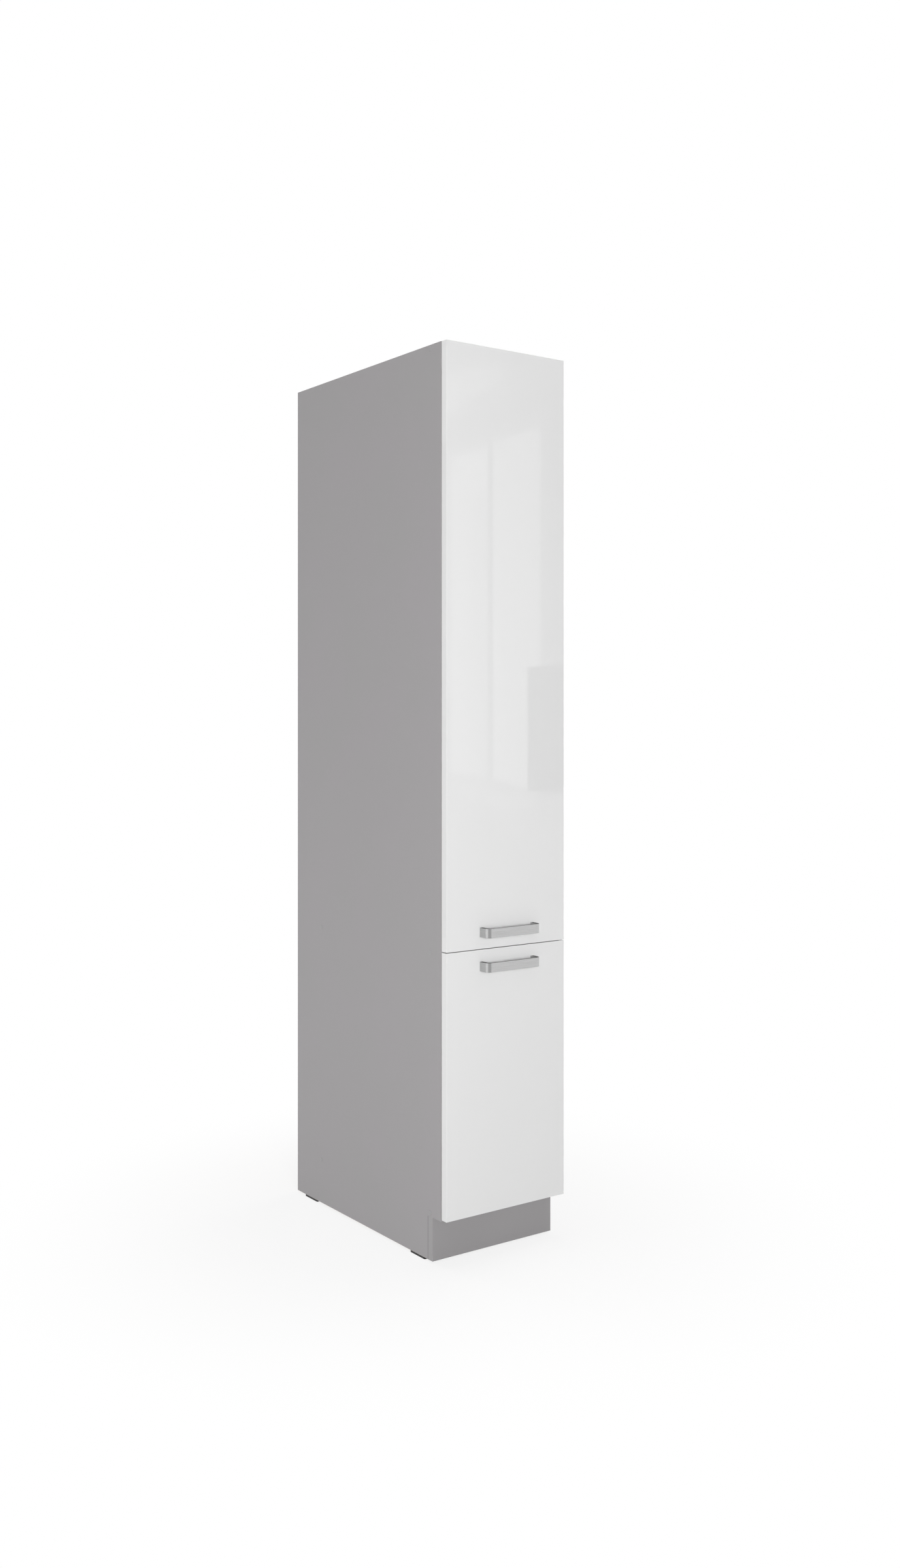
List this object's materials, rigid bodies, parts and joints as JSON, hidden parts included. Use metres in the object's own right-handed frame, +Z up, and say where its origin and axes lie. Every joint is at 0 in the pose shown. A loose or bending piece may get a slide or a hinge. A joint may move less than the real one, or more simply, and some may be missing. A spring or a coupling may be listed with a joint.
{
  "type": "pull out larder unit",
  "caption": "Tall narrow kitchen cabinet with a long and a short gloss front, each carrying a frame of railed trays that slides out on ball-bearing runners.",
  "frame": {"origin": "on the floor, under the middle of the whole unit with its handles", "axes": "+Z up, +X to the right as seen from the front, and the fronts and handles face -Y"},
  "size_m": [0.3016, 0.606, 1.8135],
  "materials": {
    "carcase_board": "light grey melamine on chipboard, matt, with fine pores and thin edge bands",
    "back_board": "light grey lacquered hardboard",
    "plinth_board": "grey melamine on chipboard, matt",
    "front_gloss": "white high-gloss foil on fibreboard",
    "handle_nickel": "brushed nickel-plated die-cast metal",
    "cap_plastic": "light grey moulded plastic",
    "glide_plastic": "black moulded plastic",
    "runner_steel": "bright zinc-plated rolled steel",
    "ball_steel": "polished bearing steel and zinc-plated cage strip",
    "screw_steel": "zinc-plated steel",
    "bracket_steel": "zinc-plated folded steel",
    "frame_coat": "silver-grey powder coat with a fine texture",
    "tray_plastic": "white moulded plastic with a satin skin",
    "gallery_chrome": "chrome-plated steel wire",
    "roller_nylon": "natural white nylon"
  },
  "bodies": {
    "cabinet": {"side_panel_left": "carcase_board", "side_panel_right": "carcase_board", "top_board": "carcase_board", "middle_board": "carcase_board", "bottom_board": "carcase_board", "back_panel": "back_board", "plinth_board": "plinth_board", "floor_glides": "glide_plastic", "cover_caps": "cap_plastic", "carcase_screws": "screw_steel", "carcase_brackets": "bracket_steel", "guide_rail": "runner_steel", "upper_left_outer_runner": "runner_steel", "upper_right_outer_runner": "runner_steel", "lower_left_outer_runner": "runner_steel", "lower_right_outer_runner": "runner_steel", "runner_screws": "screw_steel"},
    "upper_pullout": {"upper_front": "front_gloss", "upper_handle": "handle_nickel", "upper_front_brackets": "bracket_steel", "upper_carrier": "frame_coat", "upper_front_upright": "frame_coat", "upper_rear_upright": "frame_coat", "upper_beam": "frame_coat", "upper_left_inner_runner": "runner_steel", "upper_right_inner_runner": "runner_steel", "upper_screws": "screw_steel", "upper_tray_1": "tray_plastic", "upper_tray_2": "tray_plastic", "upper_tray_3": "tray_plastic", "upper_tray_4": "tray_plastic", "upper_gallery_1": "gallery_chrome", "upper_gallery_2": "gallery_chrome", "upper_gallery_3": "gallery_chrome", "upper_gallery_4": "gallery_chrome", "guide_pin": "runner_steel"},
    "lower_pullout": {"lower_front": "front_gloss", "lower_handle": "handle_nickel", "lower_front_brackets": "bracket_steel", "lower_carrier": "frame_coat", "lower_front_upright": "frame_coat", "lower_rear_upright": "frame_coat", "lower_beam": "frame_coat", "lower_left_inner_runner": "runner_steel", "lower_right_inner_runner": "runner_steel", "lower_screws": "screw_steel", "lower_tray_1": "tray_plastic", "lower_tray_2": "tray_plastic", "lower_gallery_1": "gallery_chrome", "lower_gallery_2": "gallery_chrome"},
    "guide_roller": {"guide_roller": "roller_nylon"},
    "upper_left_middle_runner": {"upper_left_middle_runner": "runner_steel"},
    "upper_right_middle_runner": {"upper_right_middle_runner": "runner_steel"},
    "upper_outer_ball_cages": {"upper_outer_ball_cages": "ball_steel"},
    "upper_inner_ball_cages": {"upper_inner_ball_cages": "ball_steel"},
    "lower_left_middle_runner": {"lower_left_middle_runner": "runner_steel"},
    "lower_right_middle_runner": {"lower_right_middle_runner": "runner_steel"},
    "lower_outer_ball_cages": {"lower_outer_ball_cages": "ball_steel"},
    "lower_inner_ball_cages": {"lower_inner_ball_cages": "ball_steel"}
  },
  "joints": [
    {"name": "upper_slide", "type": "slide", "parent": "cabinet", "child": "upper_pullout", "axis": [0, -1, 0], "range_m": [0, 0.47]},
    {"name": "upper_left_middle_slide", "type": "slide", "parent": "cabinet", "child": "upper_left_middle_runner", "axis": [0, -1, 0], "range_m": [0, 0.2355]},
    {"name": "upper_right_middle_slide", "type": "slide", "parent": "cabinet", "child": "upper_right_middle_runner", "axis": [0, -1, 0], "range_m": [0, 0.2355]},
    {"name": "upper_outer_cage_slide", "type": "slide", "parent": "cabinet", "child": "upper_outer_ball_cages", "axis": [0, -1, 0], "range_m": [0, 0.118]},
    {"name": "upper_inner_cage_slide", "type": "slide", "parent": "cabinet", "child": "upper_inner_ball_cages", "axis": [0, -1, 0], "range_m": [0, 0.353]},
    {"name": "lower_slide", "type": "slide", "parent": "cabinet", "child": "lower_pullout", "axis": [0, -1, 0], "range_m": [0, 0.47]},
    {"name": "lower_left_middle_slide", "type": "slide", "parent": "cabinet", "child": "lower_left_middle_runner", "axis": [0, -1, 0], "range_m": [0, 0.2355]},
    {"name": "lower_right_middle_slide", "type": "slide", "parent": "cabinet", "child": "lower_right_middle_runner", "axis": [0, -1, 0], "range_m": [0, 0.2355]},
    {"name": "lower_outer_cage_slide", "type": "slide", "parent": "cabinet", "child": "lower_outer_ball_cages", "axis": [0, -1, 0], "range_m": [0, 0.118]},
    {"name": "lower_inner_cage_slide", "type": "slide", "parent": "cabinet", "child": "lower_inner_ball_cages", "axis": [0, -1, 0], "range_m": [0, 0.353]},
    {"name": "roller_spin", "type": "hinge", "parent": "upper_pullout", "child": "guide_roller", "pos_m": [0, 0.228, 1.7864], "axis": [0, 0, 1], "continuous": true}
  ],
  "couplings": [
    {"joint": "upper_left_middle_slide", "follows": "upper_slide", "ratio": 0.5},
    {"joint": "upper_right_middle_slide", "follows": "upper_slide", "ratio": 0.5},
    {"joint": "upper_outer_cage_slide", "follows": "upper_slide", "ratio": 0.25},
    {"joint": "upper_inner_cage_slide", "follows": "upper_slide", "ratio": 0.75},
    {"joint": "lower_left_middle_slide", "follows": "lower_slide", "ratio": 0.5},
    {"joint": "lower_right_middle_slide", "follows": "lower_slide", "ratio": 0.5},
    {"joint": "lower_outer_cage_slide", "follows": "lower_slide", "ratio": 0.25},
    {"joint": "lower_inner_cage_slide", "follows": "lower_slide", "ratio": 0.75}
  ]
}
